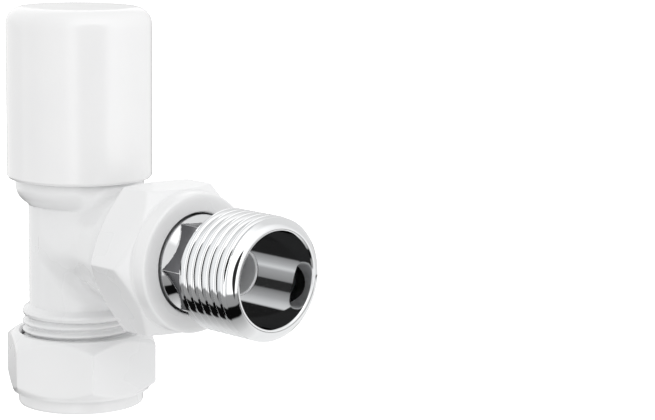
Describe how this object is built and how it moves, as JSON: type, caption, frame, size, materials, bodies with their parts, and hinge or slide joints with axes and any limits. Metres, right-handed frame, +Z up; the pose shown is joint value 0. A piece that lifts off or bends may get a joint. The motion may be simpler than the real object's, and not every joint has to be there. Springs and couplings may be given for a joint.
{
  "type": "lockshield radiator valve",
  "caption": "Angled lockshield radiator valve with a push-on cover cap, a compression pipe inlet below and a threaded union tail at the side.",
  "frame": {"origin": "centre of the pipe entry, in the plane of the compression nut's lower face", "axes": "+Z up the body's axis to the cap, +X out along the tail to the radiator"},
  "size_m": [0.0645, 0.0288, 0.0715],
  "materials": {
    "white_paint": "gloss white powder coat on brass",
    "white_plastic": "gloss moulded plastic",
    "chrome": "polished chrome plate",
    "brass": "turned, unplated",
    "steel": "spring steel wire",
    "rubber": "satin EPDM",
    "ptfe": "matt PTFE"
  },
  "bodies": {
    "body": {"valve_body": "white_paint", "cap_o_ring": "rubber", "bonnet": "brass", "bonnet_o_ring": "rubber", "spindle_o_ring": "rubber", "gland_washer": "brass", "gland_packing": "ptfe", "gland_nut": "brass"},
    "cap": {"lockshield_cap": "white_plastic"},
    "disc_assembly": {"valve_disc": "brass", "disc_retaining_ring": "steel", "seat_washer": "rubber", "washer_screw": "brass"},
    "spindle": {"spindle": "brass"},
    "tail_assembly": {"tail": "chrome", "tail_o_ring": "rubber", "union_snap_ring": "steel"},
    "union_nut": {"union_nut": "white_paint"},
    "olive": {"olive": "brass"},
    "compression_nut": {"compression_nut": "white_paint"}
  },
  "joints": [
    {"name": "cap_pull", "type": "slide", "parent": "body", "child": "cap", "axis": [0, 0, 1], "range_m": [0, 0.03]},
    {"name": "disc_lift", "type": "slide", "parent": "body", "child": "disc_assembly", "axis": [0, 0, 1], "range_m": [0, 0.0045]},
    {"name": "spindle_turn", "type": "hinge", "parent": "disc_assembly", "child": "spindle", "pos_m": [0, 0, 0.0345], "axis": [0, 0, 1], "range_deg": [0, 1082]},
    {"name": "tail_withdraw", "type": "slide", "parent": "body", "child": "tail_assembly", "axis": [1, 0, 0], "range_m": [0, 0.006]},
    {"name": "union_nut_turn", "type": "hinge", "parent": "tail_assembly", "child": "union_nut", "pos_m": [0.028, 0, 0.0299], "axis": [1, 0, 0], "range_deg": [0, 1443]},
    {"name": "olive_withdraw", "type": "slide", "parent": "body", "child": "olive", "axis": [0, 0, -1], "range_m": [0, 0.006]},
    {"name": "compression_nut_turn", "type": "hinge", "parent": "olive", "child": "compression_nut", "pos_m": [0, 0, 0.006], "axis": [0, 0, -1], "range_deg": [0, 1443]}
  ],
  "couplings": [
    {"joint": "spindle_turn", "follows": "disc_lift", "rad_per_m": 4188.8},
    {"joint": "union_nut_turn", "follows": "tail_withdraw", "rad_per_m": 4188.8},
    {"joint": "compression_nut_turn", "follows": "olive_withdraw", "rad_per_m": 4188.8}
  ]
}
